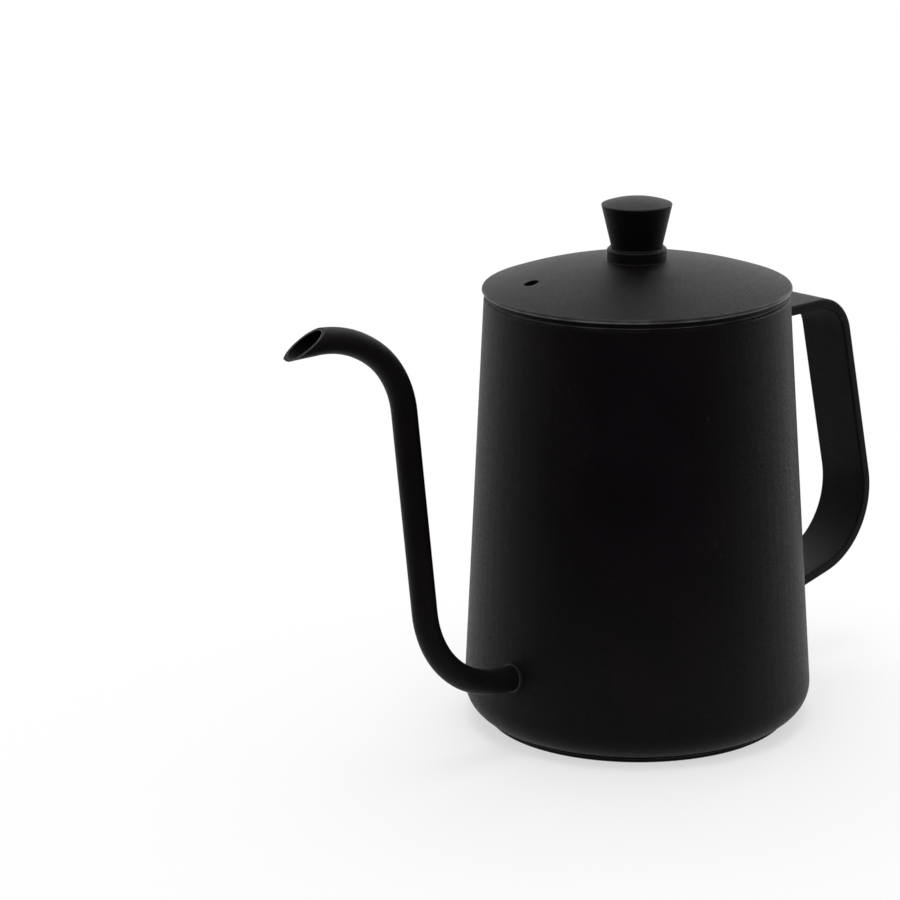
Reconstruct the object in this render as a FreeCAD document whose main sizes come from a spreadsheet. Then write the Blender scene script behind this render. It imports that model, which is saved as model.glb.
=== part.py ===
import FreeCAD, Part
import Sketcher
import math
import os

# Gooseneck pour-over kettle: +Z up, origin at the centre of the foot, spout along -X, handle along +X

# Driving dimensions, in millimetres and degrees
SIZES = {
    # Drawn body
    "body_height": 122.2,
    "wall_base_radius": 49.8,
    "wall_gauge": 0.7,
    "corner_radius": 9.0,
    "rim_width": 2.0,
    "rim_depth": 2.4,
    "rim_round": 0.75,
    # Foot disc under the body
    "foot_radius": 42.7,
    "foot_height": 1.15,
    "foot_round": 0.4,
    # Gooseneck tube, as straight legs joined by bends
    "tube_diameter": 7.0,
    "tube_gauge": 0.6,
    "tube_inset": 1.6,
    "tube_clearance": 0.1,
    "spout_height": 21.6,
    "root_leg": 5.5,
    "root_angle": 4.9,
    "root_bend": 28.75,
    "neck_leg": 57.1,
    "neck_angle": 84.1,
    "neck_bend": 25.2,
    "crest_leg": 0.65,
    "crest_angle": 33.8,
    "crest_bend": 32.0,
    "tip_leg": 9.65,
    "tip_angle": 0.3,
    "tip_lip": 0.4,
    "tip_cut_angle": 28.7,
    # Collar round the root of the tube
    "collar_width": 0.45,
    "collar_length": 0.7,
    "collar_round": 0.2,
    # Handle strap
    "strap_width": 16.8,
    "strap_thickness": 3.0,
    "strap_round": 0.7,
    "strap_inset": 6.0,
    "handle_top_height": 109.5,
    "handle_top_run": 33.15,
    "handle_top_bend": 11.8,
    "handle_low_height": 33.9,
    "handle_low_run": 44.45,
    "handle_low_bend": 22.0,
    "handle_root_height": 23.7,
    # Lid cover
    "lid_gauge": 0.8,
    "lid_radius": 43.0,
    "lid_overhang": 0.5,
    "lid_clearance": 0.3,
    "lid_rise": 8.2,
    "lid_edge_height": 0.87,
    "lid_edge_round": 0.7,
    "lid_lip_round": 0.2,
    "hem_width": 2.2,
    "vent_diameter": 4.0,
    "vent_radius": 31.5,
    "vent_angle": 158.9,
    # Ring under the cover
    "flange_thickness": 1.7,
    "flange_inset": 0.5,
    "skirt_clearance": 0.4,
    "skirt_gauge": 0.6,
    "skirt_depth": 7.0,
    # Knob and the collar under it
    "seat_radius": 8.7,
    "knob_collar_radius": 8.25,
    "knob_collar_height": 3.6,
    "knob_collar_bevel": 0.5,
    "knob_waist_radius": 7.05,
    "knob_top_radius": 9.85,
    "knob_height": 12.1,
    "knob_crown": 1.8,
    "knob_edge_round": 0.3,
    # Screw and washers that hold the knob
    "screw_diameter": 4.0,
    "screw_length": 12.0,
    "screw_clearance": 0.15,
    "screw_head_diameter": 7.6,
    "screw_head_height": 2.6,
    "screw_head_round": 1.0,
    "recess_length": 4.2,
    "recess_width": 0.9,
    "recess_depth": 1.4,
    "washer_diameter": 9.0,
    "washer_thickness": 0.8,
    "lock_washer_diameter": 7.4,
    "lock_washer_thickness": 0.9,
    "lock_washer_split": 0.8,
    "bore_end_gap": 1.5,
}

doc = FreeCAD.newDocument("GooseneckKettle")
sheet = doc.addObject("Spreadsheet::Sheet", "Sizes")


def fill_sheet():
    """Write each driving dimension into its own named cell."""
    for row, (name, value) in enumerate(SIZES.items(), start=1):
        sheet.set(f"A{row}", name)
        sheet.set(f"B{row}", str(value))
        sheet.setAlias(f"B{row}", name)
    doc.recompute()


def cell(name):
    """Return the reference by which a formula reads one cell of the sheet."""
    return f"Sizes.{name}"


def total(*terms):
    """Join formulas into one sum in brackets."""
    return "(" + " + ".join(terms) + ")"


def less(first, *rest):
    """Join formulas into one difference in brackets."""
    return "(" + " - ".join((first,) + rest) + ")"


def value_of(formula):
    """Work out a formula of the sheet as a number."""
    return float(sheet.evalExpression(formula))


# Places that several pieces share
RIM_RADIUS = less(cell("lid_radius"), cell("lid_overhang"))


def wall_radius(height):
    """Outer radius of the body's straight tapered wall at a height."""
    taper = less(cell("wall_base_radius"), RIM_RADIUS)
    return f"({cell('wall_base_radius')} - {taper} * {height} / {cell('body_height')})"


MOUTH_RADIUS = less(RIM_RADIUS, cell("rim_width"))
LIP_BOTTOM = total(cell("body_height"), cell("flange_thickness"))
SEAT_TOP = total(LIP_BOTTOM, cell("lid_rise"))
SEAT_UNDERSIDE = less(SEAT_TOP, cell("lid_gauge"))
COLLAR_TOP = total(SEAT_TOP, cell("knob_collar_height"))
WASHER_UNDERSIDE = less(SEAT_UNDERSIDE, cell("washer_thickness"))
HEAD_TOP = less(WASHER_UNDERSIDE, cell("lock_washer_thickness"))
TUBE_RADIUS = f"({cell('tube_diameter')} / 2)"
TUBE_HOLE_RADIUS = total(TUBE_RADIUS, cell("tube_clearance"))
COLLAR_RADIUS = total(TUBE_HOLE_RADIUS, cell("collar_width"))
SCREW_HOLE_RADIUS = f"({cell('screw_diameter')} / 2 + {cell('screw_clearance')})"


ORIGIN = ("0", "0")
EDGE_MATCH = 0.01


# Sketch helpers
def new_body(label):
    """Start one piece, with the label that names its file."""
    body = doc.addObject("PartDesign::Body", label)
    body.Label = label
    return body


def new_sketch(body, name, role):
    """Add a sketch on one of the piece's own base planes."""
    plane = next(item for item in body.Origin.OriginFeatures if item.Role == role)
    sketch = body.newObject("Sketcher::SketchObject", name)
    sketch.AttachmentSupport = [(plane, "")]
    sketch.MapMode = "FlatFace"
    return sketch


def bind(sketch, constraint, formula):
    """Add a dimension to a sketch and drive it from the sheet."""
    number = sketch.addConstraint(constraint)
    sketch.setExpression(f"Constraints[{number}]", formula)


def pin_along(sketch, kind, geometry, end, formula):
    """Set one coordinate of a sketch point, measured from the sketch's origin."""
    value = value_of(formula)
    if value < 0:
        bind(sketch, Sketcher.Constraint(kind, geometry, end, -1, 1, -value), f"-1 * {formula}")
    else:
        bind(sketch, Sketcher.Constraint(kind, -1, 1, geometry, end, value), formula)


def pin(sketch, geometry, end, corner):
    """Set both coordinates of a sketch point."""
    pin_along(sketch, "DistanceX", geometry, end, corner[0])
    pin_along(sketch, "DistanceY", geometry, end, corner[1])


def point_at(corner):
    """Return a corner given by two formulas as a vector in the sketch's plane."""
    return FreeCAD.Vector(value_of(corner[0]), value_of(corner[1]), 0)


def draw_polygon(sketch, corners):
    """Draw a closed outline of straight edges through corners given by formulas."""
    points = [point_at(corner) for corner in corners]
    count = len(points)
    for index in range(count):
        sketch.addGeometry(Part.LineSegment(points[index], points[(index + 1) % count]), False)
    for index in range(count):
        sketch.addConstraint(Sketcher.Constraint("Coincident", index, 2, (index + 1) % count, 1))
        pin(sketch, index, 1, corners[index])


def draw_circle(sketch, centre, radius):
    """Draw one circle with its centre and radius given by formulas."""
    circle = Part.Circle(point_at(centre), FreeCAD.Vector(0, 0, 1), value_of(radius))
    index = sketch.addGeometry(circle, False)
    if centre == ORIGIN:
        sketch.addConstraint(Sketcher.Constraint("Coincident", index, 3, -1, 1))
    else:
        pin(sketch, index, 3, centre)
    bind(sketch, Sketcher.Constraint("Radius", index, value_of(radius)), radius)


def draw_bent_path(sketch, corners, bends):
    """Draw straight legs through corners given by formulas, joined by tangent bends."""
    points = [point_at(corner) for corner in corners]
    legs = []
    arcs = []
    start = points[0]
    for index, bend in enumerate(bends, start=1):
        before = (points[index] - points[index - 1]).normalize()
        after = (points[index + 1] - points[index]).normalize()
        turn = before.getAngle(after)
        radius = value_of(bend)
        reach = radius * math.tan(turn / 2)
        arc_start = points[index] - before * reach
        arc_end = points[index] + after * reach
        inward = (after - before).normalize()
        centre = points[index] + inward * (radius / math.cos(turn / 2))
        arc_middle = centre - inward * radius
        legs.append(sketch.addGeometry(Part.LineSegment(start, arc_start), False))
        arcs.append(sketch.addGeometry(Part.Arc(arc_start, arc_middle, arc_end), False))
        start = arc_end
    legs.append(sketch.addGeometry(Part.LineSegment(start, points[-1]), False))
    pin(sketch, legs[0], 1, corners[0])
    pin(sketch, legs[-1], 2, corners[-1])
    for index, arc in enumerate(arcs):
        first_end, last_end = arc_ends(sketch, arc, legs[index])
        sketch.addConstraint(Sketcher.Constraint("Tangent", legs[index], 2, arc, first_end))
        sketch.addConstraint(Sketcher.Constraint("Tangent", arc, last_end, legs[index + 1], 1))
        bind(sketch, Sketcher.Constraint("Radius", arc, value_of(bends[index])), bends[index])
        corner = sketch.addGeometry(Part.Point(points[index + 1]), True)
        pin(sketch, corner, 1, corners[index + 1])
        sketch.addConstraint(Sketcher.Constraint("PointOnObject", corner, 1, legs[index]))
        sketch.addConstraint(Sketcher.Constraint("PointOnObject", corner, 1, legs[index + 1]))


def arc_ends(sketch, arc, leg_before):
    """Tell which end of an arc meets the leg before it, as the sketch numbers its ends."""
    meeting = sketch.getPoint(leg_before, 2)
    if sketch.getPoint(arc, 1).distanceToPoint(meeting) < sketch.getPoint(arc, 2).distanceToPoint(meeting):
        return 1, 2
    return 2, 1


# Feature helpers
def turn(body, kind, sketch):
    """Turn a profile a full circle about the vertical axis, to add or to cut."""
    feature = body.newObject(kind, f"{sketch.Name}Turn")
    feature.Profile = sketch
    feature.ReferenceAxis = (sketch, ["V_Axis"])
    feature.Angle = 360
    doc.recompute()
    return feature


def turned_body(label, corners):
    """Make a piece as one profile turned about the vertical axis."""
    body = new_body(label)
    sketch = new_sketch(body, f"{label}_profile", "XZ_Plane")
    draw_polygon(sketch, corners)
    turn(body, "PartDesign::Revolution", sketch)
    return body


def circles_at(feature, radius, height):
    """Name the level round edges of a feature that lie at a radius and a height."""
    names = []
    for number, edge in enumerate(feature.Shape.Edges, start=1):
        if edge.Degenerated or not isinstance(edge.Curve, Part.Circle):
            continue
        curve = edge.Curve
        near_radius = abs(curve.Radius - value_of(radius)) < EDGE_MATCH
        if near_radius and abs(curve.Center.z - value_of(height)) < EDGE_MATCH:
            names.append(f"Edge{number}")
    return names


def round_edges(body, names, radius):
    """Round the named edges of the piece as it stands."""
    base = body.Tip
    fillet = body.newObject("PartDesign::Fillet", f"{body.Name}Round")
    fillet.Base = (base, names)
    fillet.setExpression("Radius", radius)
    doc.recompute()


def sweep(body, kind, path, draw_section):
    """Run a section drawn square to the start of a path along that path."""
    section = body.newObject("Sketcher::SketchObject", f"{path.Name}_section")
    section.AttachmentSupport = [(path, "Edge1")]
    section.MapMode = "NormalToEdge"
    section.MapPathParameter = 0
    doc.recompute()
    draw_section(section)
    doc.recompute()
    pipe = body.newObject(kind, f"{path.Name}Pipe")
    pipe.Profile = section
    pipe.Spine = (path, [f"Edge{number}" for number in range(1, len(path.Shape.Edges) + 1)])
    doc.recompute()
    return pipe


def cut_to_wall(body):
    """Trim a piece where it would reach inside the body's tapered wall or the lid above it."""
    rim = cell("body_height")
    lid_room = total(cell("lid_radius"), cell("lid_clearance"))
    sketch = new_sketch(body, f"{body.Name}_wall_cut", "XZ_Plane")
    draw_polygon(sketch, [
        ORIGIN, (wall_radius("0"), "0"), (RIM_RADIUS, rim),
        (lid_room, rim), (lid_room, SEAT_TOP), ("0", SEAT_TOP)])
    turn(body, "PartDesign::Groove", sketch)


# Body and foot
def make_body_shell():
    """Drawn body: turned, rounded at the bottom, hollowed, with a rolled rim and the spout's hole."""
    bottom = cell("foot_height")
    top = cell("body_height")
    body = turned_body("body_shell", [
        ("0", bottom), (wall_radius(bottom), bottom), (wall_radius(top), top), ("0", top)])
    round_edges(body, circles_at(body.Tip, wall_radius(bottom), bottom), cell("corner_radius"))
    solid = body.Tip
    lid_face = max(range(len(solid.Shape.Faces)), key=lambda index: solid.Shape.Faces[index].CenterOfMass.z)
    hollow = body.newObject("PartDesign::Thickness", "body_hollow")
    hollow.Base = (solid, [f"Face{lid_face + 1}"])
    hollow.setExpression("Value", cell("wall_gauge"))
    hollow.Reversed = True
    doc.recompute()
    rim_bottom = less(top, cell("rim_depth"))
    rim = new_sketch(body, "rim_profile", "XZ_Plane")
    draw_polygon(rim, [
        (wall_radius(rim_bottom), rim_bottom), (wall_radius(top), top),
        (MOUTH_RADIUS, top), (MOUTH_RADIUS, rim_bottom)])
    turn(body, "PartDesign::Revolution", rim)
    rim_edges = circles_at(body.Tip, wall_radius(top), top)
    rim_edges += circles_at(body.Tip, MOUTH_RADIUS, top)
    rim_edges += circles_at(body.Tip, MOUTH_RADIUS, rim_bottom)
    round_edges(body, rim_edges, cell("rim_round"))
    path = new_sketch(body, "spout_hole_path", "XZ_Plane")
    draw_line(path, spout_point("-2 * " + cell("tube_inset")), spout_point("2 * " + cell("tube_inset")))
    sweep(body, "PartDesign::SubtractivePipe", path,
          lambda section: draw_circle(section, ORIGIN, TUBE_HOLE_RADIUS))
    return body


def make_base_disc():
    """Inset flat disc that the kettle stands on, with a rounded lower edge."""
    outer = cell("foot_radius")
    top = cell("foot_height")
    body = turned_body("base_disc", [ORIGIN, (outer, "0"), (outer, top), ("0", top)])
    round_edges(body, circles_at(body.Tip, outer, "0"), cell("foot_round"))
    return body


# Spout
def spout_point(distance):
    """A point on the tube's root leg, at a distance out from the wall's outer face."""
    out = f"({wall_radius(cell('spout_height'))} + {distance} * cos({cell('root_angle')}))"
    up = f"({cell('spout_height')} + {distance} * sin({cell('root_angle')}))"
    return f"(-1 * {out})", up


def bend_reach(bend, angle_before, angle_after):
    """Length from the corner of a bend to where its arc starts or ends."""
    return f"({cell(bend)} * tan(abs({cell(angle_before)} - {cell(angle_after)}) / 2))"


def leg_end(start, length, angle):
    """The corner at the end of a length that leaves a corner outward at an angle above level."""
    out = f"({start[0]} - {length} * cos({cell(angle)}))"
    up = f"({start[1]} + {length} * sin({cell(angle)}))"
    return out, up


def spout_corners():
    """Corners of the tube's path: each straight leg with the reach of the bends beside it."""
    root = bend_reach("root_bend", "root_angle", "neck_angle")
    neck = bend_reach("neck_bend", "neck_angle", "crest_angle")
    crest = bend_reach("crest_bend", "crest_angle", "tip_angle")
    first = leg_end(spout_point("0"), total(cell("root_leg"), root), "root_angle")
    second = leg_end(first, total(root, cell("neck_leg"), neck), "neck_angle")
    third = leg_end(second, total(neck, cell("crest_leg"), crest), "crest_angle")
    end = leg_end(third, total(crest, cell("tip_leg")), "tip_angle")
    return [spout_point("-1 * " + cell("tube_inset")), first, second, third, end]


def tip_point(back, rise):
    """A point beside the tube's end, back along its axis and up square to it from the lower lip."""
    end = SPOUT_CORNERS[-1]
    along = cell("tip_angle")
    lift = f"({rise} - {TUBE_RADIUS} + {cell('tip_lip')})"
    across = f"({end[0]} + {back} * cos({along}) + {lift} * sin({along}))"
    up = f"({end[1]} - {back} * sin({along}) + {lift} * cos({along}))"
    return across, up


SPOUT_CORNERS = spout_corners()


def draw_line(sketch, start, end):
    """Draw one straight path between two points given by formulas."""
    index = sketch.addGeometry(Part.LineSegment(point_at(start), point_at(end)), False)
    pin(sketch, index, 1, start)
    pin(sketch, index, 2, end)


def draw_tube_section(section):
    """Draw the tube's ring section round the path."""
    draw_circle(section, ORIGIN, TUBE_RADIUS)
    draw_circle(section, ORIGIN, less(TUBE_RADIUS, cell("tube_gauge")))


def make_spout_tube():
    """Gooseneck tube of one diameter, bent three times and cut on a slant at its end."""
    body = new_body("spout_tube")
    path = new_sketch(body, "spout_path", "XZ_Plane")
    draw_bent_path(path, SPOUT_CORNERS, [cell("root_bend"), cell("neck_bend"), cell("crest_bend")])
    sweep(body, "PartDesign::AdditivePipe", path, draw_tube_section)
    rise = f"(2 * {cell('tube_diameter')})"
    back = f"({rise} / tan({cell('tip_cut_angle')}))"
    slant = new_sketch(body, "spout_slant", "XZ_Plane")
    beyond = f"(-1 * {cell('tube_diameter')})"
    draw_polygon(slant, [
        tip_point("0", "0"), tip_point(back, rise), tip_point(beyond, rise), tip_point(beyond, "0")])
    cut = body.newObject("PartDesign::Pocket", "spout_slant_cut")
    cut.Profile = slant
    cut.SideType = "Symmetric"
    cut.setExpression("Length", f"2 * {cell('tube_diameter')}")
    doc.recompute()
    return body


def make_spout_collar():
    """Thin rounded ring that covers the joint where the tube enters the body."""
    body = new_body("spout_collar")
    path = new_sketch(body, "collar_path", "XZ_Plane")
    draw_line(path, spout_point("-1 * " + COLLAR_RADIUS), spout_point(cell("collar_length")))
    sweep(body, "PartDesign::AdditivePipe", path, draw_collar_section)
    cut_to_wall(body)
    rim = [f"Edge{number}" for number, edge in enumerate(body.Tip.Shape.Edges, start=1)
           if isinstance(edge.Curve, Part.Circle)
           and abs(edge.Curve.Radius - value_of(COLLAR_RADIUS)) < EDGE_MATCH]
    round_edges(body, rim, cell("collar_round"))
    return body


def draw_collar_section(section):
    """Draw the collar's ring section round the tube."""
    draw_circle(section, ORIGIN, COLLAR_RADIUS)
    draw_circle(section, ORIGIN, TUBE_HOLE_RADIUS)


# Handle
def draw_strap_section(section):
    """Draw the strap's flat section, centred on the path."""
    half_width = f"({cell('strap_width')} / 2)"
    half_thickness = f"({cell('strap_thickness')} / 2)"
    minus_width = f"(-1 * {half_width})"
    minus_thickness = f"(-1 * {half_thickness})"
    across_y = abs(section.Placement.Rotation.multVec(FreeCAD.Vector(1, 0, 0)).y) > 0.5
    wide, thin = (half_width, half_thickness) if across_y else (half_thickness, half_width)
    minus_wide, minus_thin = (minus_width, minus_thickness) if across_y else (minus_thickness, minus_width)
    draw_polygon(section, [
        (minus_wide, minus_thin), (wide, minus_thin), (wide, thin), (minus_wide, thin)])


def make_handle_strap():
    """Flat bar bent into a loop and trimmed to the wall at both ends."""
    body = new_body("handle_strap")
    top = cell("handle_top_height")
    low = cell("handle_low_height")
    root = cell("handle_root_height")
    low_corner = (total(wall_radius(low), cell("handle_low_run")), low)
    root_wall = wall_radius(root)
    slope = f"(({low} - {root}) / ({low_corner[0]} - {root_wall}))"
    root_inside = (less(root_wall, cell("strap_inset")), less(root, f"{cell('strap_inset')} * {slope}"))
    path = new_sketch(body, "handle_path", "XZ_Plane")
    draw_bent_path(path, [
        (less(wall_radius(top), cell("strap_inset")), top),
        (total(wall_radius(top), cell("handle_top_run")), top),
        low_corner,
        root_inside], [cell("handle_top_bend"), cell("handle_low_bend")])
    pipe = sweep(body, "PartDesign::AdditivePipe", path, draw_strap_section)
    half_width = value_of(cell("strap_width")) / 2
    long_edges = [f"Edge{number}" for number, edge in enumerate(pipe.Shape.Edges, start=1)
                  if abs(abs(edge.BoundBox.YMin) - half_width) < EDGE_MATCH
                  and edge.BoundBox.YLength < EDGE_MATCH
                  and edge.Length > 2 * value_of(cell("strap_thickness"))]
    round_edges(body, long_edges, cell("strap_round"))
    cut_to_wall(body)
    return body


# Lid
def draw_dome(sketch, rim, foot, seat, centre, radius):
    """Draw a closed half section under a round dome that is cut level at its seat."""
    middle = point_at(("0", centre))
    reach = value_of(radius)
    seat_height = value_of(seat) - middle.y
    seat_edge = FreeCAD.Vector(math.sqrt(reach ** 2 - seat_height ** 2), value_of(seat), 0)
    shoulder_height = math.sqrt(reach ** 2 - value_of(rim) ** 2)
    shoulder = FreeCAD.Vector(value_of(rim), middle.y + shoulder_height, 0)
    circle = Part.Circle(middle, FreeCAD.Vector(0, 0, 1), reach)
    start_angle = math.atan2(shoulder_height, shoulder.x)
    end_angle = math.atan2(seat_height, seat_edge.x)
    arc = sketch.addGeometry(Part.ArcOfCircle(circle, start_angle, end_angle), False)
    corners = [seat_edge, point_at(("0", seat)), point_at(("0", foot)), point_at((rim, foot)), shoulder]
    lines = [sketch.addGeometry(Part.LineSegment(first, last), False)
             for first, last in zip(corners, corners[1:])]
    for first, last in zip(lines, lines[1:]):
        sketch.addConstraint(Sketcher.Constraint("Coincident", first, 2, last, 1))
    sketch.addConstraint(Sketcher.Constraint("Coincident", arc, 2, lines[0], 1))
    sketch.addConstraint(Sketcher.Constraint("Coincident", lines[-1], 2, arc, 1))
    sketch.addConstraint(Sketcher.Constraint("Vertical", lines[-1]))
    sketch.addConstraint(Sketcher.Constraint("Horizontal", lines[0]))
    pin(sketch, arc, 3, ("0", centre))
    bind(sketch, Sketcher.Constraint("Radius", arc, reach), radius)
    pin(sketch, lines[1], 1, ("0", seat))
    pin(sketch, lines[2], 1, ("0", foot))
    pin(sketch, lines[3], 1, (rim, foot))
    return shoulder.y


def make_lid_dome():
    """Pressed cover with a flat seat for the knob, a closed hem round its lip and a steam vent."""
    body = new_body("lid_dome")
    lip = cell("lid_radius")
    seat = cell("seat_radius")
    drop = less(cell("lid_rise"), cell("lid_edge_height"))
    seat_height = f"(({lip} * {lip} - {seat} * {seat} + {drop} * {drop}) / (2 * {drop}))"
    centre = less(SEAT_TOP, seat_height)
    radius = f"sqrt({seat_height} * {seat_height} + {seat} * {seat})"
    outside = new_sketch(body, "dome_outside", "XZ_Plane")
    shoulder = draw_dome(outside, lip, LIP_BOTTOM, SEAT_TOP, centre, radius)
    turn(body, "PartDesign::Revolution", outside)
    inside = new_sketch(body, "dome_inside", "XZ_Plane")
    hem_inside = less(lip, cell("hem_width"))
    draw_dome(inside, hem_inside, LIP_BOTTOM, SEAT_UNDERSIDE, centre, less(radius, cell("lid_gauge")))
    turn(body, "PartDesign::Groove", inside)
    round_edges(body, circles_at(body.Tip, lip, str(shoulder)), cell("lid_edge_round"))
    round_edges(body, circles_at(body.Tip, lip, LIP_BOTTOM), cell("lid_lip_round"))
    holes = new_sketch(body, "dome_holes", "XY_Plane")
    draw_circle(holes, ORIGIN, SCREW_HOLE_RADIUS)
    vent = (f"({cell('vent_radius')} * cos({cell('vent_angle')}))",
            f"({cell('vent_radius')} * sin({cell('vent_angle')}))")
    draw_circle(holes, vent, f"({cell('vent_diameter')} / 2)")
    cut = body.newObject("PartDesign::Pocket", "dome_hole_cut")
    cut.Profile = holes
    cut.Type = "ThroughAll"
    cut.Reversed = True
    doc.recompute()
    return body


def make_lid_ring():
    """Ring under the cover: a flange that rests on the rim and a skirt inside the mouth."""
    outside = less(MOUTH_RADIUS, cell("skirt_clearance"))
    inside = less(outside, cell("skirt_gauge"))
    flange = less(RIM_RADIUS, cell("flange_inset"))
    rim = cell("body_height")
    skirt_bottom = less(rim, cell("skirt_depth"))
    return turned_body("lid_ring", [
        (inside, skirt_bottom), (outside, skirt_bottom), (outside, rim),
        (flange, rim), (flange, LIP_BOTTOM), (inside, LIP_BOTTOM)])


# Knob and its fastening
def make_knob_collar():
    """Turned spacer ring with a bevelled top edge."""
    outer = cell("knob_collar_radius")
    bevel = cell("knob_collar_bevel")
    return turned_body("knob_collar", [
        (SCREW_HOLE_RADIUS, SEAT_TOP), (outer, SEAT_TOP), (outer, less(COLLAR_TOP, bevel)),
        (less(outer, bevel), COLLAR_TOP), (SCREW_HOLE_RADIUS, COLLAR_TOP)])


def make_knob():
    """Turned knob: an upturned cone with a low crown and a blind bore for the screw."""
    body = new_body("knob")
    top = total(COLLAR_TOP, cell("knob_height"))
    apex = total(top, cell("knob_crown"))
    bore_top = total(HEAD_TOP, cell("screw_length"), cell("bore_end_gap"))
    rim = cell("knob_top_radius")
    crown = cell("knob_crown")
    crown_radius = f"(({rim} * {rim} + {crown} * {crown}) / (2 * {crown}))"
    corners = [(rim, top), (cell("knob_waist_radius"), COLLAR_TOP), (SCREW_HOLE_RADIUS, COLLAR_TOP),
               (SCREW_HOLE_RADIUS, bore_top), ("0", bore_top), ("0", apex)]
    profile = new_sketch(body, "knob_profile", "XZ_Plane")
    points = [point_at(corner) for corner in corners]
    lines = [profile.addGeometry(Part.LineSegment(first, last), False)
             for first, last in zip(points, points[1:])]
    middle = point_at(("0", less(apex, crown_radius)))
    circle = Part.Circle(middle, FreeCAD.Vector(0, 0, 1), value_of(crown_radius))
    start_angle = math.atan2(points[0].y - middle.y, points[0].x)
    arc = profile.addGeometry(Part.ArcOfCircle(circle, start_angle, math.pi / 2), False)
    for first, last in zip(lines, lines[1:]):
        profile.addConstraint(Sketcher.Constraint("Coincident", first, 2, last, 1))
    for line, corner in zip(lines, corners):
        pin(profile, line, 1, corner)
    pin(profile, lines[-1], 2, corners[-1])
    profile.addConstraint(Sketcher.Constraint("Coincident", arc, 1, lines[0], 1))
    profile.addConstraint(Sketcher.Constraint("Coincident", arc, 2, lines[-1], 2))
    pin_along(profile, "DistanceX", arc, 3, "0")
    turn(body, "PartDesign::Revolution", profile)
    round_edges(body, circles_at(body.Tip, rim, top), cell("knob_edge_round"))
    return body


def make_knob_screw():
    """Pan head screw that comes up through the washers and the cover into the knob."""
    shank = f"({cell('screw_diameter')} / 2)"
    head = f"({cell('screw_head_diameter')} / 2)"
    head_bottom = less(HEAD_TOP, cell("screw_head_height"))
    tip = total(HEAD_TOP, cell("screw_length"))
    body = turned_body("knob_screw", [
        ("0", head_bottom), (head, head_bottom), (head, HEAD_TOP),
        (shank, HEAD_TOP), (shank, tip), ("0", tip)])
    round_edges(body, circles_at(body.Tip, head, head_bottom), cell("screw_head_round"))
    half_length = f"({cell('recess_length')} / 2)"
    half_width = f"({cell('recess_width')} / 2)"
    recess_top = total(head_bottom, cell("recess_depth"))
    slots = {"recess_one": (half_length, half_width), "recess_two": (half_width, half_length)}
    for name, (across, along) in slots.items():
        slot = new_sketch(body, name, "XY_Plane")
        minus_across = f"(-1 * {across})"
        minus_along = f"(-1 * {along})"
        draw_polygon(slot, [
            (minus_across, minus_along), (across, minus_along), (across, along), (minus_across, along)])
        cut = body.newObject("PartDesign::Pocket", f"{name}_cut")
        cut.Profile = slot
        cut.Reversed = True
        cut.setExpression("Length", recess_top)
        doc.recompute()
    return body


def make_knob_washer():
    """Flat washer against the underside of the cover."""
    outer = f"({cell('washer_diameter')} / 2)"
    return turned_body("knob_washer", [
        (SCREW_HOLE_RADIUS, WASHER_UNDERSIDE), (outer, WASHER_UNDERSIDE),
        (outer, SEAT_UNDERSIDE), (SCREW_HOLE_RADIUS, SEAT_UNDERSIDE)])


def make_knob_lock_washer():
    """Spring washer, split through on one side."""
    outer = f"({cell('lock_washer_diameter')} / 2)"
    body = turned_body("knob_lock_washer", [
        (SCREW_HOLE_RADIUS, HEAD_TOP), (outer, HEAD_TOP),
        (outer, WASHER_UNDERSIDE), (SCREW_HOLE_RADIUS, WASHER_UNDERSIDE)])
    half_split = f"({cell('lock_washer_split')} / 2)"
    minus_split = f"(-1 * {half_split})"
    reach = cell("lock_washer_diameter")
    slot = new_sketch(body, "washer_split", "XY_Plane")
    draw_polygon(slot, [("0", minus_split), (reach, minus_split), (reach, half_split), ("0", half_split)])
    cut = body.newObject("PartDesign::Pocket", "washer_split_cut")
    cut.Profile = slot
    cut.Type = "ThroughAll"
    cut.Reversed = True
    doc.recompute()
    return body


def check_and_write(pieces):
    """Make sure that every object was built, then write one file for each piece."""
    doc.recompute()
    for item in doc.Objects:
        if "Invalid" in item.State or "Error" in item.State:
            raise RuntimeError(f"{item.Label} was not built")
    os.makedirs("parts", exist_ok=True)
    for piece in pieces:
        shape = piece.Shape
        if shape.isNull() or not shape.isValid() or len(shape.Solids) != 1:
            raise RuntimeError(f"{piece.Label} is not one sound solid")
        print(piece.Label, round(shape.Volume, 2), [round(edge, 2) for edge in box_of(shape)])
        shape.exportStep(f"parts/{piece.Label}.step")


def box_of(shape):
    """List the corners of a shape's box, low then high."""
    box = shape.BoundBox
    return [box.XMin, box.YMin, box.ZMin, box.XMax, box.YMax, box.ZMax]


fill_sheet()
check_and_write([
    make_body_shell(),
    make_base_disc(),
    make_spout_tube(),
    make_spout_collar(),
    make_handle_strap(),
    make_lid_dome(),
    make_lid_ring(),
    make_knob_collar(),
    make_knob(),
    make_knob_screw(),
    make_knob_washer(),
    make_knob_lock_washer(),
])
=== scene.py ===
import math

import bpy
from mathutils import Matrix, Vector

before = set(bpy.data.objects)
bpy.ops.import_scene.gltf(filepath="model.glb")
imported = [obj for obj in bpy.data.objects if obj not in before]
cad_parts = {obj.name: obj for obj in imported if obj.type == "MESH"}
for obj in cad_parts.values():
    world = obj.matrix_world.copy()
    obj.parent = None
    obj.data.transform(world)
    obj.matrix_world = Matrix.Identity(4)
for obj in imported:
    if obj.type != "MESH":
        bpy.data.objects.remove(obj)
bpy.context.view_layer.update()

# Camera as solved from the photograph, about the kettle's axis, in metres and degrees
IMAGE_WIDTH = 900
FOCAL_PIXELS = 3407
SENSOR_WIDTH = 36.0
CAMERA_DISTANCE = 0.9229
CAMERA_HEIGHT = 0.3354
CAMERA_AZIMUTH = -44.87
CAMERA_YAW = -3.258
CAMERA_PITCH = 15.597
CAMERA_ROLL = -0.860


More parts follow.
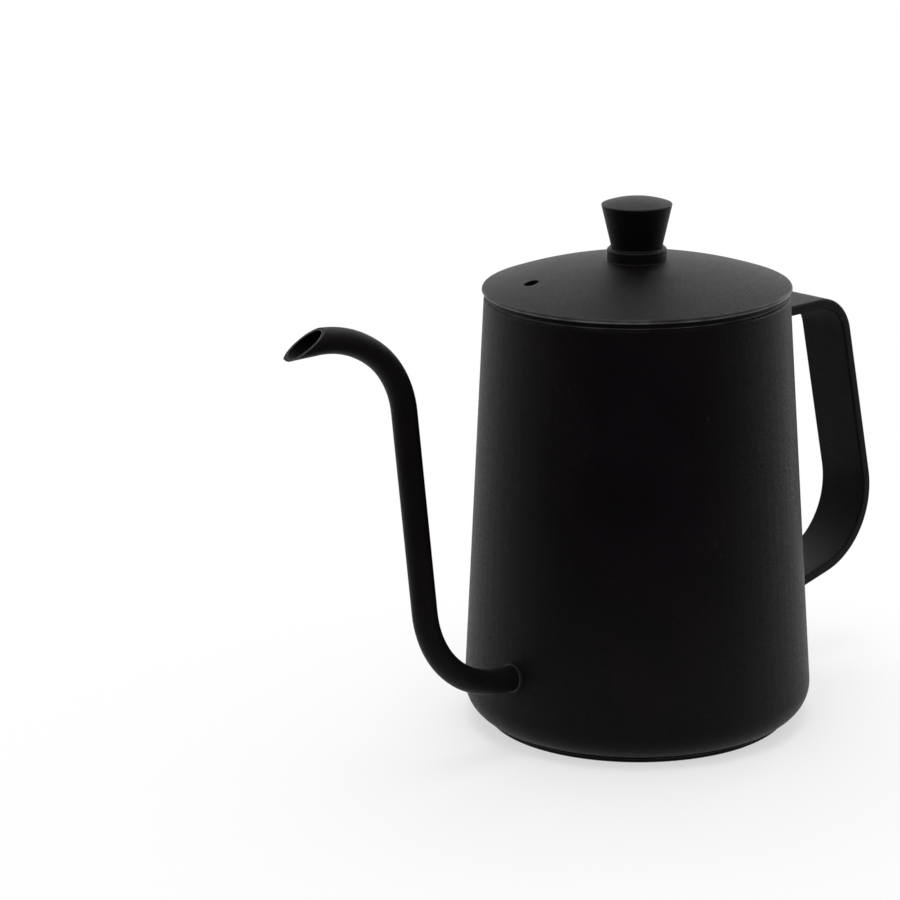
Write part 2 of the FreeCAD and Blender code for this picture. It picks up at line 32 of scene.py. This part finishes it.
def set_camera():
    """Stand the camera where the photograph was taken."""
    turn = Matrix.Rotation(math.radians(CAMERA_AZIMUTH), 3, "Z")
    yaw = math.radians(CAMERA_YAW)
    pitch = math.radians(CAMERA_PITCH)
    roll = math.radians(CAMERA_ROLL)
    level_reach = math.cos(pitch)
    ahead = Vector((math.sin(yaw) * level_reach, math.cos(yaw) * level_reach, -math.sin(pitch)))
    forward = turn @ ahead
    level = turn @ Vector((math.cos(yaw), -math.sin(yaw), 0))
    upright = level.cross(forward)
    right = math.cos(roll) * level + math.sin(roll) * upright
    up = math.cos(roll) * upright - math.sin(roll) * level
    camera_data = bpy.data.cameras.new("photo_camera")
    camera_data.sensor_width = SENSOR_WIDTH
    camera_data.lens = FOCAL_PIXELS / IMAGE_WIDTH * SENSOR_WIDTH
    camera = bpy.data.objects.new("photo_camera", camera_data)
    axes = Matrix((right, up, -forward)).transposed()
    place = turn @ Vector((0, -CAMERA_DISTANCE, CAMERA_HEIGHT))
    camera.matrix_world = Matrix.Translation(place) @ axes.to_4x4()
    bpy.context.collection.objects.link(camera)
    bpy.context.scene.camera = camera


# Numbers of the mix node's colour sockets, which share their names with its other sockets
MIX_FIRST = 6
MIX_SECOND = 7
MIX_RESULT = 2

# Keeps the part of a place that lies across the kettle's axis
ACROSS_AXIS = (1, 1, 0)


class Nodes:
    """Short way to add and link shader nodes of one material or of the world."""

    def __init__(self, owner, output="ShaderNodeOutputMaterial"):
        self.owner = owner
        owner.use_nodes = True
        self.tree = owner.node_tree
        self.tree.nodes.clear()
        self.output = self.tree.nodes.new(output)

    def add(self, kind, inputs=None, **settings):
        """Add a node, set its properties and set or link its inputs."""
        node = self.tree.nodes.new(kind)
        for key, value in settings.items():
            setattr(node, key, value)
        for key, value in (inputs or {}).items():
            self.feed(node.inputs[key], value)
        return node

    def feed(self, socket, value):
        """Set a socket, or link it when the value is another socket."""
        if isinstance(value, bpy.types.NodeSocket):
            self.tree.links.new(value, socket)
        else:
            socket.default_value = value

    def noise(self, place, scale, detail=2.0):
        """Soft random pattern in object space, as a number round one half."""
        node = self.add("ShaderNodeTexNoise", {"Vector": place, "Scale": scale, "Detail": detail})
        return node.outputs["Fac"]

    def spread(self, value, target, source=(0.0, 1.0), curve="LINEAR"):
        """Map a number from a source range to a target range."""
        node = self.add("ShaderNodeMapRange", {
            "Value": value, "From Min": source[0], "From Max": source[1],
            "To Min": target[0], "To Max": target[1]}, interpolation_type=curve)
        return node.outputs["Result"]

    def reckon(self, operation, first, second=0.0):
        """One step of arithmetic on sockets or numbers."""
        return self.add("ShaderNodeMath", {0: first, 1: second}, operation=operation).outputs["Value"]

    def vector(self, operation, first, second=(0, 0, 0)):
        """One step of arithmetic on places or directions."""
        return self.add("ShaderNodeVectorMath", {0: first, 1: second}, operation=operation)

    def mix(self, share, first, second):
        """Blend two colours by a share."""
        node = self.add("ShaderNodeMix", data_type="RGBA")
        self.feed(node.inputs["Factor"], share)
        self.feed(node.inputs[MIX_FIRST], first)
        self.feed(node.inputs[MIX_SECOND], second)
        return node.outputs[MIX_RESULT]

    def place(self):
        """Object coordinates, which are metres in the kettle's own frame."""
        return self.add("ShaderNodeTexCoord").outputs["Object"]

    def height(self, place):
        """Height of a place above the table."""
        return self.add("ShaderNodeSeparateXYZ", {"Vector": place}).outputs["Z"]

    def axis_distance(self, place):
        """Distance of a place from the kettle's upright axis."""
        flat = self.vector("MULTIPLY", place, ACROSS_AXIS).outputs[0]
        return self.vector("LENGTH", flat).outputs["Value"]

    def finish(self, shader):
        """Show a shader on the surface and hand back the material or the world."""
        self.tree.links.new(shader.outputs[0], self.output.inputs["Surface"])
        return self.owner


def material_nodes(name):
    """Nodes of a new material."""
    return Nodes(bpy.data.materials.new(name))


# Coat colours and gloss
COAT_DARK = (0.0013, 0.0009, 0.0012, 1)
COAT_LIGHT = (0.0026, 0.0018, 0.0024, 1)
COAT_TINT = (0.35, 0.31, 0.35, 1)
COAT_IOR = 1.15
COAT_ROUGHNESS = (0.26, 0.54)
MOTTLE_ROUGHNESS = (-0.02, 0.02)
WORN_COLOUR = (0.06, 0.056, 0.06, 1)
WORN_IOR = 1.5
WORN_ROUGHNESS = (0.25, 0.35)
# Colour of the dust specks and rub marks, also used for the painted bounce light from the table
# toward the foot
DUST_AND_BOUNCE_COLOUR = (0.10, 0.097, 0.095, 1)

# Steel colours and gloss
STEEL_DARK = (0.48, 0.476, 0.468, 1)
STEEL_LIGHT = (0.63, 0.625, 0.615, 1)
STEEL_ROUGHNESS = (0.26, 0.40)
STAIN_ROUGHNESS = (-0.04, 0.04)
BRUSH_STRENGTH = 0.15
BRUSH_DEPTH = 0.0001
BRUSH_TINT = (-0.25, 0.25)

# Patterns in cells per metre
GRAIN_SCALE = 4500
SPARKLE_SCALE = 3000
MOTTLE_SCALE = 60
SPECK_SCALE = 420
RUB_SCALE = 1400
PATCH_SCALE = 32
WEAR_SCALE = 180
BRUSH_SCALE = 5200
STAIN_SCALE = 45

# Layers of finer noise in a pattern
FINE_DETAIL = 3.0
WEAR_DETAIL = 4.0

# Levels of the patterns
NOISE_MIDDLE = (0.35, 0.65)
GRAIN_DEPTH = 0.00022
SPECK_RADIUS = 0.09
SPECK_FREE = 0.985
SPECK_SHARE = 0.5
RUB_STRETCH = (1, 1, 0.35)
RUB_LEVELS = (0.60, 0.72)
RUB_SHARE = (0.0, 0.045)
PATCH_LEVELS = (0.56, 0.68)
# Painted bounce light: the coat is made lighter toward the foot, as by light from the table, broken
# up by the grain
PAINTED_BOUNCE_SHARE = (0.045, 0.0)
PAINTED_BOUNCE_HEIGHTS = (0.0, 0.080)
PAINTED_BOUNCE_GRAIN = (0.6, 1.4)
GRAIN_TINT = (-0.7, 0.7)

# Edge wear: reach of the search in metres, its levels and the share that is worn
EDGE_REACH = 0.0003
SHEET_REACH = 0.0004
LID_REACH = 0.00055
TUBE_REACH = 0.00015
EDGE_LEVELS = (0.85, 0.98)
EDGE_SAMPLES = 16
EDGE_WEAR = 0.4
LIP_WEAR = 1.0
LEAST_WEAR = 0.4


def edge_share(nodes, reach):
    """How sharply the surface turns outward within a reach, from none to one on an edge."""
    depth = nodes.add("ShaderNodeAmbientOcclusion", {"Distance": reach},
                      inside=True, only_local=True, samples=EDGE_SAMPLES)
    return nodes.spread(depth.outputs["AO"], (1.0, 0.0), EDGE_LEVELS)


def worn_share(nodes, place, reach, wear, edge_zone):
    """Wear of the edges, uneven along them and kept to a zone where one is given."""
    uneven = nodes.noise(place, WEAR_SCALE, WEAR_DETAIL)
    amount = nodes.spread(uneven, (LEAST_WEAR * wear, wear), NOISE_MIDDLE)
    worn = nodes.reckon("MULTIPLY", edge_share(nodes, reach), amount)
    if edge_zone:
        worn = nodes.reckon("MULTIPLY", worn, edge_zone(nodes, place))
    return worn


def rub_share(nodes, place):
    """Faint upright rub marks, gathered in a few patches."""
    upright = nodes.vector("MULTIPLY", place, RUB_STRETCH).outputs[0]
    marks = nodes.spread(nodes.noise(upright, RUB_SCALE, FINE_DETAIL), RUB_SHARE, RUB_LEVELS)
    patches = nodes.spread(nodes.noise(place, PATCH_SCALE), (0.0, 1.0), PATCH_LEVELS)
    return nodes.reckon("MULTIPLY", marks, patches)


def speck_share(nodes, place):
    """A few small specks of dust."""
    cells = nodes.add("ShaderNodeTexVoronoi", {"Vector": place, "Scale": SPECK_SCALE})
    chance = nodes.add("ShaderNodeSeparateColor", {"Color": cells.outputs["Color"]}).outputs["Red"]
    near = nodes.reckon("LESS_THAN", cells.outputs["Distance"], SPECK_RADIUS)
    chosen = nodes.reckon("GREATER_THAN", chance, SPECK_FREE)
    return nodes.reckon("MULTIPLY", nodes.reckon("MULTIPLY", near, chosen), SPECK_SHARE)


def coat_colour(nodes, place, mottle, grain):
    """Mottled, grainy black with specks and rub marks, made lighter toward the foot as painted light
    bounced up from the table.
    """
    slow = nodes.spread(mottle, (0.0, 1.0), NOISE_MIDDLE)
    fine = nodes.spread(grain, GRAIN_TINT, NOISE_MIDDLE)
    colour = nodes.mix(nodes.reckon("ADD", slow, fine), COAT_DARK, COAT_LIGHT)
    colour = nodes.mix(speck_share(nodes, place), colour, DUST_AND_BOUNCE_COLOUR)
    colour = nodes.mix(rub_share(nodes, place), colour, DUST_AND_BOUNCE_COLOUR)
    # Painted bounce light from the table, lightening the coat toward the foot
    painted_bounce = nodes.spread(nodes.height(place), PAINTED_BOUNCE_SHARE, PAINTED_BOUNCE_HEIGHTS, "SMOOTHSTEP")
    painted_bounce = nodes.reckon("MULTIPLY", painted_bounce, nodes.spread(grain, PAINTED_BOUNCE_GRAIN, NOISE_MIDDLE))
    return nodes.mix(painted_bounce, colour, DUST_AND_BOUNCE_COLOUR)


def coat_surface(nodes, place, reach=EDGE_REACH, wear=EDGE_WEAR, edge_zone=None):
    """Satin powder coat with a fine grain and an uneven gloss, polished along its edges."""
    mottle = nodes.noise(place, MOTTLE_SCALE, FINE_DETAIL)
    grain = nodes.noise(place, GRAIN_SCALE, FINE_DETAIL)
    sparkle = nodes.spread(nodes.noise(place, SPARKLE_SCALE), COAT_ROUGHNESS, NOISE_MIDDLE)
    roughness = nodes.reckon("ADD", sparkle, nodes.spread(mottle, MOTTLE_ROUGHNESS))
    bump = nodes.add("ShaderNodeBump", {"Strength": 1.0, "Distance": GRAIN_DEPTH, "Height": grain})
    satin = nodes.add("ShaderNodeBsdfPrincipled", {
        "Base Color": coat_colour(nodes, place, mottle, grain), "Roughness": roughness,
        "Normal": bump.outputs["Normal"], "IOR": COAT_IOR, "Specular Tint": COAT_TINT})
    polished = nodes.add("ShaderNodeBsdfPrincipled", {
        "Base Color": WORN_COLOUR, "Roughness": nodes.spread(grain, WORN_ROUGHNESS), "IOR": WORN_IOR})
    worn = worn_share(nodes, place, reach, wear, edge_zone)
    return nodes.add("ShaderNodeMixShader", {0: worn, 1: satin.outputs[0], 2: polished.outputs[0]})


def black_coat(name, reach=EDGE_REACH, wear=EDGE_WEAR, edge_zone=None):
    """The coat by itself, polished along edges within a reach."""
    nodes = material_nodes(name)
    return nodes.finish(coat_surface(nodes, nodes.place(), reach, wear, edge_zone))


def brushed_surface(nodes, place):
    """Bare stainless steel with brush lines that run round the kettle."""
    across = nodes.add("ShaderNodeCombineXYZ", {
        "X": nodes.axis_distance(place), "Y": nodes.height(place)})
    lines = nodes.noise(across.outputs["Vector"], BRUSH_SCALE)
    stain = nodes.noise(place, STAIN_SCALE, FINE_DETAIL)
    shade = nodes.reckon("ADD", stain, nodes.spread(lines, BRUSH_TINT, NOISE_MIDDLE))
    roughness = nodes.reckon(
        "ADD", nodes.spread(lines, STEEL_ROUGHNESS), nodes.spread(stain, STAIN_ROUGHNESS))
    bump = nodes.add("ShaderNodeBump", {
        "Strength": BRUSH_STRENGTH, "Distance": BRUSH_DEPTH, "Height": lines})
    return nodes.add("ShaderNodeBsdfPrincipled", {
        "Base Color": nodes.mix(shade, STEEL_DARK, STEEL_LIGHT), "Metallic": 1.0,
        "Roughness": roughness, "Normal": bump.outputs["Normal"]})


def bare_steel():
    """Brushed steel by itself, for the fasteners."""
    nodes = material_nodes("bare_steel")
    return nodes.finish(brushed_surface(nodes, nodes.place()))


# Where the coat stops, in metres
VESSEL_MIDDLE = (0, 0, 0.06)
COAT_STOP = 0.1197
FLANGE_EDGE = 0.0412
LIP_INSIDE = 0.040
STEEL_NODES = ("knob_screw", "knob_washer", "knob_lock_washer")


def part_coated(name, choose_bare):
    """Coat on one share of a solid and bare brushed steel on the rest."""
    nodes = material_nodes(name)
    place = nodes.place()
    coat = coat_surface(nodes, place, SHEET_REACH)
    steel = brushed_surface(nodes, place)
    mix = nodes.add("ShaderNodeMixShader", {
        0: choose_bare(nodes, place), 1: coat.outputs[0], 2: steel.outputs[0]})
    return nodes.finish(mix)


def inside_vessel(nodes, place):
    """One on the faces that look at the middle of the vessel, up to the rolled rim."""
    outward = nodes.vector("SUBTRACT", place, VESSEL_MIDDLE).outputs[0]
    normal = nodes.add("ShaderNodeNewGeometry").outputs["True Normal"]
    facing = nodes.add("ShaderNodeVectorTransform", {"Vector": normal},
                       vector_type="NORMAL", convert_from="WORLD", convert_to="OBJECT").outputs[0]
    side = nodes.vector("DOT_PRODUCT", facing, outward).outputs["Value"]
    inward = nodes.reckon("LESS_THAN", side, 0.0)
    below_rim = nodes.reckon("LESS_THAN", nodes.height(place), COAT_STOP)
    return nodes.reckon("MULTIPLY", inward, below_rim)


def behind_flange_edge(nodes, place):
    """One on all of the ring but the edge that shows under the lid's lip."""
    return nodes.reckon("LESS_THAN", nodes.axis_distance(place), FLANGE_EDGE)


def lid_lip(nodes, place):
    """One on the outer few millimetres of the lid."""
    return nodes.reckon("GREATER_THAN", nodes.axis_distance(place), LIP_INSIDE)


def dress_nodes():
    """Give every solid its finish."""
    coat = black_coat("satin_black_coat")
    steel = bare_steel()
    finishes = {name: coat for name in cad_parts}
    finishes.update({name: steel for name in STEEL_NODES})
    finishes["spout_tube"] = black_coat("coated_tube", TUBE_REACH)
    finishes["lid_dome"] = black_coat("coated_lid", LID_REACH, LIP_WEAR, lid_lip)
    finishes["body_shell"] = part_coated("coated_vessel", inside_vessel)
    finishes["lid_ring"] = part_coated("coated_ring", behind_flange_edge)
    for name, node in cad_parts.items():
        node.data.materials.clear()
        node.data.materials.append(finishes[name])


# Stage and light, in metres and watts
FLOOR_SIZE = 60.0
FLOOR_COLOUR = (0.72, 0.72, 0.72, 1)
WHITE = (1, 1, 1, 1)
WHITE_SHARE = (0.58, 1.0)
FLOOR_DISTANCES = (0.05, 0.25)
ROOM_LEVELS = (0.8, 1.0)
LAMP_AIM = Vector((0, 0, 0.07))
SIDE_BOX = (0.7, 0.9)
BACK_BOX = (1.2, 0.8)
TOP_BOX = (0.5, 0.5)


def seen_directly(nodes):
    """One where a ray comes from the camera, from gloss or from glass."""
    path = nodes.add("ShaderNodeLightPath")
    seen = nodes.reckon("MAXIMUM", path.outputs["Is Camera Ray"], path.outputs["Is Glossy Ray"])
    return nodes.reckon("MAXIMUM", seen, path.outputs["Is Transmission Ray"])


def add_floor():
    """Pale floor that shows white and keeps a soft shadow."""
    bpy.ops.mesh.primitive_plane_add(size=FLOOR_SIZE)
    floor = bpy.context.object
    floor.name = "floor"
    nodes = material_nodes("pale_floor")
    plain = nodes.add("ShaderNodeBsdfDiffuse", {"Color": FLOOR_COLOUR})
    white = nodes.add("ShaderNodeEmission", {"Color": WHITE, "Strength": 1.0})
    away = nodes.vector("LENGTH", nodes.place()).outputs["Value"]
    bright = nodes.spread(away, WHITE_SHARE, FLOOR_DISTANCES)
    share = nodes.reckon("MULTIPLY", seen_directly(nodes), bright)
    mix = nodes.add("ShaderNodeMixShader", {0: share, 1: plain.outputs[0], 2: white.outputs[0]})
    floor.data.materials.append(nodes.finish(mix))


def add_softbox(name, azimuth, distance, height, size, power):
    """Oblong area lamp that looks at the kettle from an azimuth about its axis."""
    lamp_data = bpy.data.lights.new(name, "AREA")
    lamp_data.shape = "RECTANGLE"
    lamp_data.size = size[0]
    lamp_data.size_y = size[1]
    lamp_data.energy = power
    lamp = bpy.data.objects.new(name, lamp_data)
    angle = math.radians(CAMERA_AZIMUTH + azimuth)
    spot = Vector((math.sin(angle) * distance, -math.cos(angle) * distance, height))
    lamp.location = spot
    lamp.rotation_euler = (LAMP_AIM - spot).to_track_quat("-Z", "Y").to_euler()
    bpy.context.collection.objects.link(lamp)


def set_world():
    """Even room light from all round, which shows white where it is seen."""
    nodes = Nodes(bpy.data.worlds.new("studio"), "ShaderNodeOutputWorld")
    level = nodes.spread(seen_directly(nodes), ROOM_LEVELS)
    room = nodes.add("ShaderNodeBackground", {"Color": WHITE, "Strength": level})
    bpy.context.scene.world = nodes.finish(room)


def light_studio():
    """Soft boxes at both sides, behind and overhead, as the highlights show."""
    add_softbox("left_box", azimuth=-130, distance=0.9, height=0.35, size=SIDE_BOX, power=1)
    add_softbox("right_box", azimuth=140, distance=0.9, height=0.35, size=SIDE_BOX, power=2)
    add_softbox("back_box", azimuth=180, distance=0.9, height=0.9, size=BACK_BOX, power=7)
    add_softbox("top_box", azimuth=0, distance=0.12, height=1.1, size=TOP_BOX, power=3.5)


dress_nodes()
add_floor()
set_world()
light_studio()
set_camera()
bpy.context.scene.view_settings.view_transform = "Standard"
